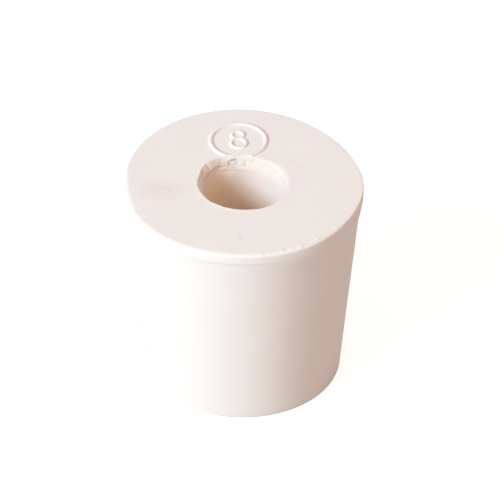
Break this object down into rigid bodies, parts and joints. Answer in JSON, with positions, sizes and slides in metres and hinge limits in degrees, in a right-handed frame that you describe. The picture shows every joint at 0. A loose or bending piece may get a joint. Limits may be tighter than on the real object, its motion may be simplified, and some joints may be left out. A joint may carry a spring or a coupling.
{
  "type": "rubber stopper",
  "caption": "Tapered white rubber laboratory stopper with a straight hole through its middle, standing on its narrow face.",
  "frame": {"origin": "centre of the narrow bottom face, on the bore's axis, where the stopper stands", "axes": "+Z along the bore's axis from the narrow face to the wide face; the raised ring on the wide face lies towards +Y"},
  "size_m": [0.0272, 0.0272, 0.0252],
  "materials": {
    "rubber": "matt cream-white moulded rubber with a slight waxy sheen"
  },
  "bodies": {
    "root": {"stopper": "rubber"}
  },
  "joints": []
}
